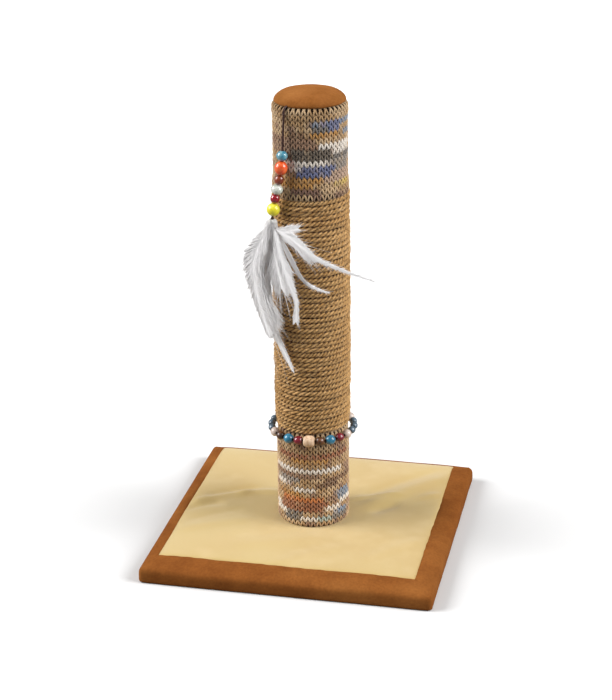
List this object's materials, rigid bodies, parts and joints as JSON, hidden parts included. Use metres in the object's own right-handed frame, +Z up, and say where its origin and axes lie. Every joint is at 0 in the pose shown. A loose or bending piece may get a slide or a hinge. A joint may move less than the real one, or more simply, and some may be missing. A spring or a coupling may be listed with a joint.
{
  "type": "cat scratching post",
  "caption": "Rope-wound cat scratching post on a square padded base, with knitted sleeves, a padded cap, a ring of beads and a hanging feather toy.",
  "frame": {"origin": "centre of the underside of the base, on the floor", "axes": "+Z up the post, -Y towards the front of the base, +X to the right seen from the front"},
  "size_m": [0.3, 0.3, 0.4792],
  "materials": {
    "fibreboard": "raw medium-density fibreboard",
    "suede": "tan imitation suede, matte",
    "black_cloth": "black nonwoven cloth",
    "cream_cloth": "cream brushed cotton cloth",
    "foam": "soft padding",
    "zinc": "zinc plated",
    "cardboard": "spiral-wound cardboard",
    "knit": "machine-knitted variegated yarn",
    "jute": "twisted natural fibre rope",
    "dark_cord": "dark brown waxed cord",
    "thread": "white binding thread",
    "elastic": "dark elastic cord",
    "feather": "white down feather",
    "toy_bead_blue": "glassy turquoise, clear-coated",
    "toy_bead_orange": "orange, satin",
    "toy_bead_brown": "red-brown lacquered wood",
    "toy_bead_white": "milky white, glossy",
    "toy_bead_red": "deep red, glossy",
    "toy_bead_yellow": "yellow, satin",
    "ring_cream": "bare pale wood",
    "ring_brown": "brown stained wood",
    "ring_turquoise": "turquoise lacquered wood",
    "ring_red": "red lacquered wood",
    "ring_white": "pinkish white lacquered wood",
    "ring_grey": "grey-blue lacquered wood"
  },
  "bodies": {
    "post": {"base_board": "fibreboard", "border_cover": "suede", "bottom_cloth": "black_cloth", "top_panel": "cream_cloth", "base_padding": "foam", "post_bolt": "zinc", "bolt_washer": "zinc", "threaded_insert": "zinc", "bottom_plug": "fibreboard", "post_tube": "cardboard", "lower_knit": "knit", "upper_knit": "knit", "rope_winding": "jute", "cap_cover": "suede", "cap_padding": "foam", "top_plug": "fibreboard", "cord_staple": "zinc", "toy_cord_tail": "dark_cord"},
    "toy_bend": {"toy_cord_bend": "dark_cord"},
    "toy_cord": {"toy_cord": "dark_cord"},
    "toy_knot": {"cord_end_knot": "dark_cord"},
    "feathers": {"feather_binding": "thread", "feather_left_plume": "feather", "feather_centre_plume": "feather", "feather_short": "feather", "feather_long_right": "feather", "feather_low_right": "feather", "feather_down": "feather", "feather_long_low": "feather"},
    "bead_blue": {"toy_bead_blue": "toy_bead_blue"},
    "bead_orange": {"toy_bead_orange": "toy_bead_orange"},
    "bead_brown": {"toy_bead_brown": "toy_bead_brown"},
    "bead_white": {"toy_bead_white": "toy_bead_white"},
    "bead_red": {"toy_bead_red": "toy_bead_red"},
    "bead_yellow": {"toy_bead_yellow": "toy_bead_yellow"},
    "bead_ring": {"ring_cord": "elastic", "ring_bead_01_cream": "ring_cream", "ring_bead_02_brown": "ring_brown", "ring_bead_03_turquoise": "ring_turquoise", "ring_bead_04_red": "ring_red", "ring_bead_05_white": "ring_white", "ring_bead_06_grey": "ring_grey", "ring_bead_07_grey": "ring_grey", "ring_bead_08_grey": "ring_grey", "ring_bead_09_white": "ring_white", "ring_bead_10_brown": "ring_brown", "ring_bead_11_turquoise": "ring_turquoise", "ring_bead_12_red": "ring_red", "ring_bead_13_cream": "ring_cream", "ring_bead_14_brown": "ring_brown", "ring_bead_15_turquoise": "ring_turquoise", "ring_bead_16_red": "ring_red", "ring_bead_17_white": "ring_white", "ring_bead_18_grey": "ring_grey", "ring_bead_19_grey": "ring_grey", "ring_bead_20_grey": "ring_grey", "ring_bead_21_white": "ring_white", "ring_bead_22_brown": "ring_brown", "ring_bead_23_turquoise": "ring_turquoise", "ring_bead_24_red": "ring_red"}
  },
  "joints": [
    {"name": "toy_swing_out", "type": "hinge", "parent": "post", "child": "toy_bend", "pos_m": [-0.01816, -0.03524, 0.4613], "axis": [-0.866, 0.5, 0], "range_deg": [0, 120]},
    {"name": "toy_swing_side", "type": "hinge", "parent": "toy_bend", "child": "toy_cord", "pos_m": [-0.01816, -0.03524, 0.4613], "axis": [-0.5, -0.866, 0], "range_deg": [-60, 60]},
    {"name": "feathers_swing_out", "type": "hinge", "parent": "toy_cord", "child": "toy_knot", "pos_m": [-0.03022, -0.03834, 0.35721], "axis": [-0.866, 0.5, 0], "range_deg": [0, 60]},
    {"name": "feathers_swing_side", "type": "hinge", "parent": "toy_knot", "child": "feathers", "pos_m": [-0.03022, -0.03834, 0.35721], "axis": [-0.5, -0.866, 0], "range_deg": [-35, 35]},
    {"name": "bead_spin_blue", "type": "hinge", "parent": "toy_cord", "child": "bead_blue", "pos_m": [-0.01951, -0.03856, 0.4214], "axis": [0.067, 0.0596, 0.996], "continuous": true},
    {"name": "bead_spin_orange", "type": "hinge", "parent": "toy_cord", "child": "bead_orange", "pos_m": [-0.02061, -0.03912, 0.40917], "axis": [0.127, 0.0269, 0.9915], "continuous": true},
    {"name": "bead_spin_brown", "type": "hinge", "parent": "toy_cord", "child": "bead_brown", "pos_m": [-0.02265, -0.03919, 0.39735], "axis": [0.2095, -0.0135, 0.9777], "continuous": true},
    {"name": "bead_spin_white", "type": "hinge", "parent": "toy_cord", "child": "bead_white", "pos_m": [-0.02502, -0.03891, 0.38753], "axis": [0.2247, -0.0327, 0.9739], "continuous": true},
    {"name": "bead_spin_red", "type": "hinge", "parent": "toy_cord", "child": "bead_red", "pos_m": [-0.0272, -0.03852, 0.37778], "axis": [0.1963, -0.0293, 0.9801], "continuous": true},
    {"name": "bead_spin_yellow", "type": "hinge", "parent": "toy_cord", "child": "bead_yellow", "pos_m": [-0.02913, -0.03835, 0.36655], "axis": [0.1434, -0.0075, 0.9896], "continuous": true},
    {"name": "ring_turn", "type": "hinge", "parent": "post", "child": "bead_ring", "pos_m": [0, 0, 0.122], "axis": [0, 0, 1], "continuous": true}
  ]
}
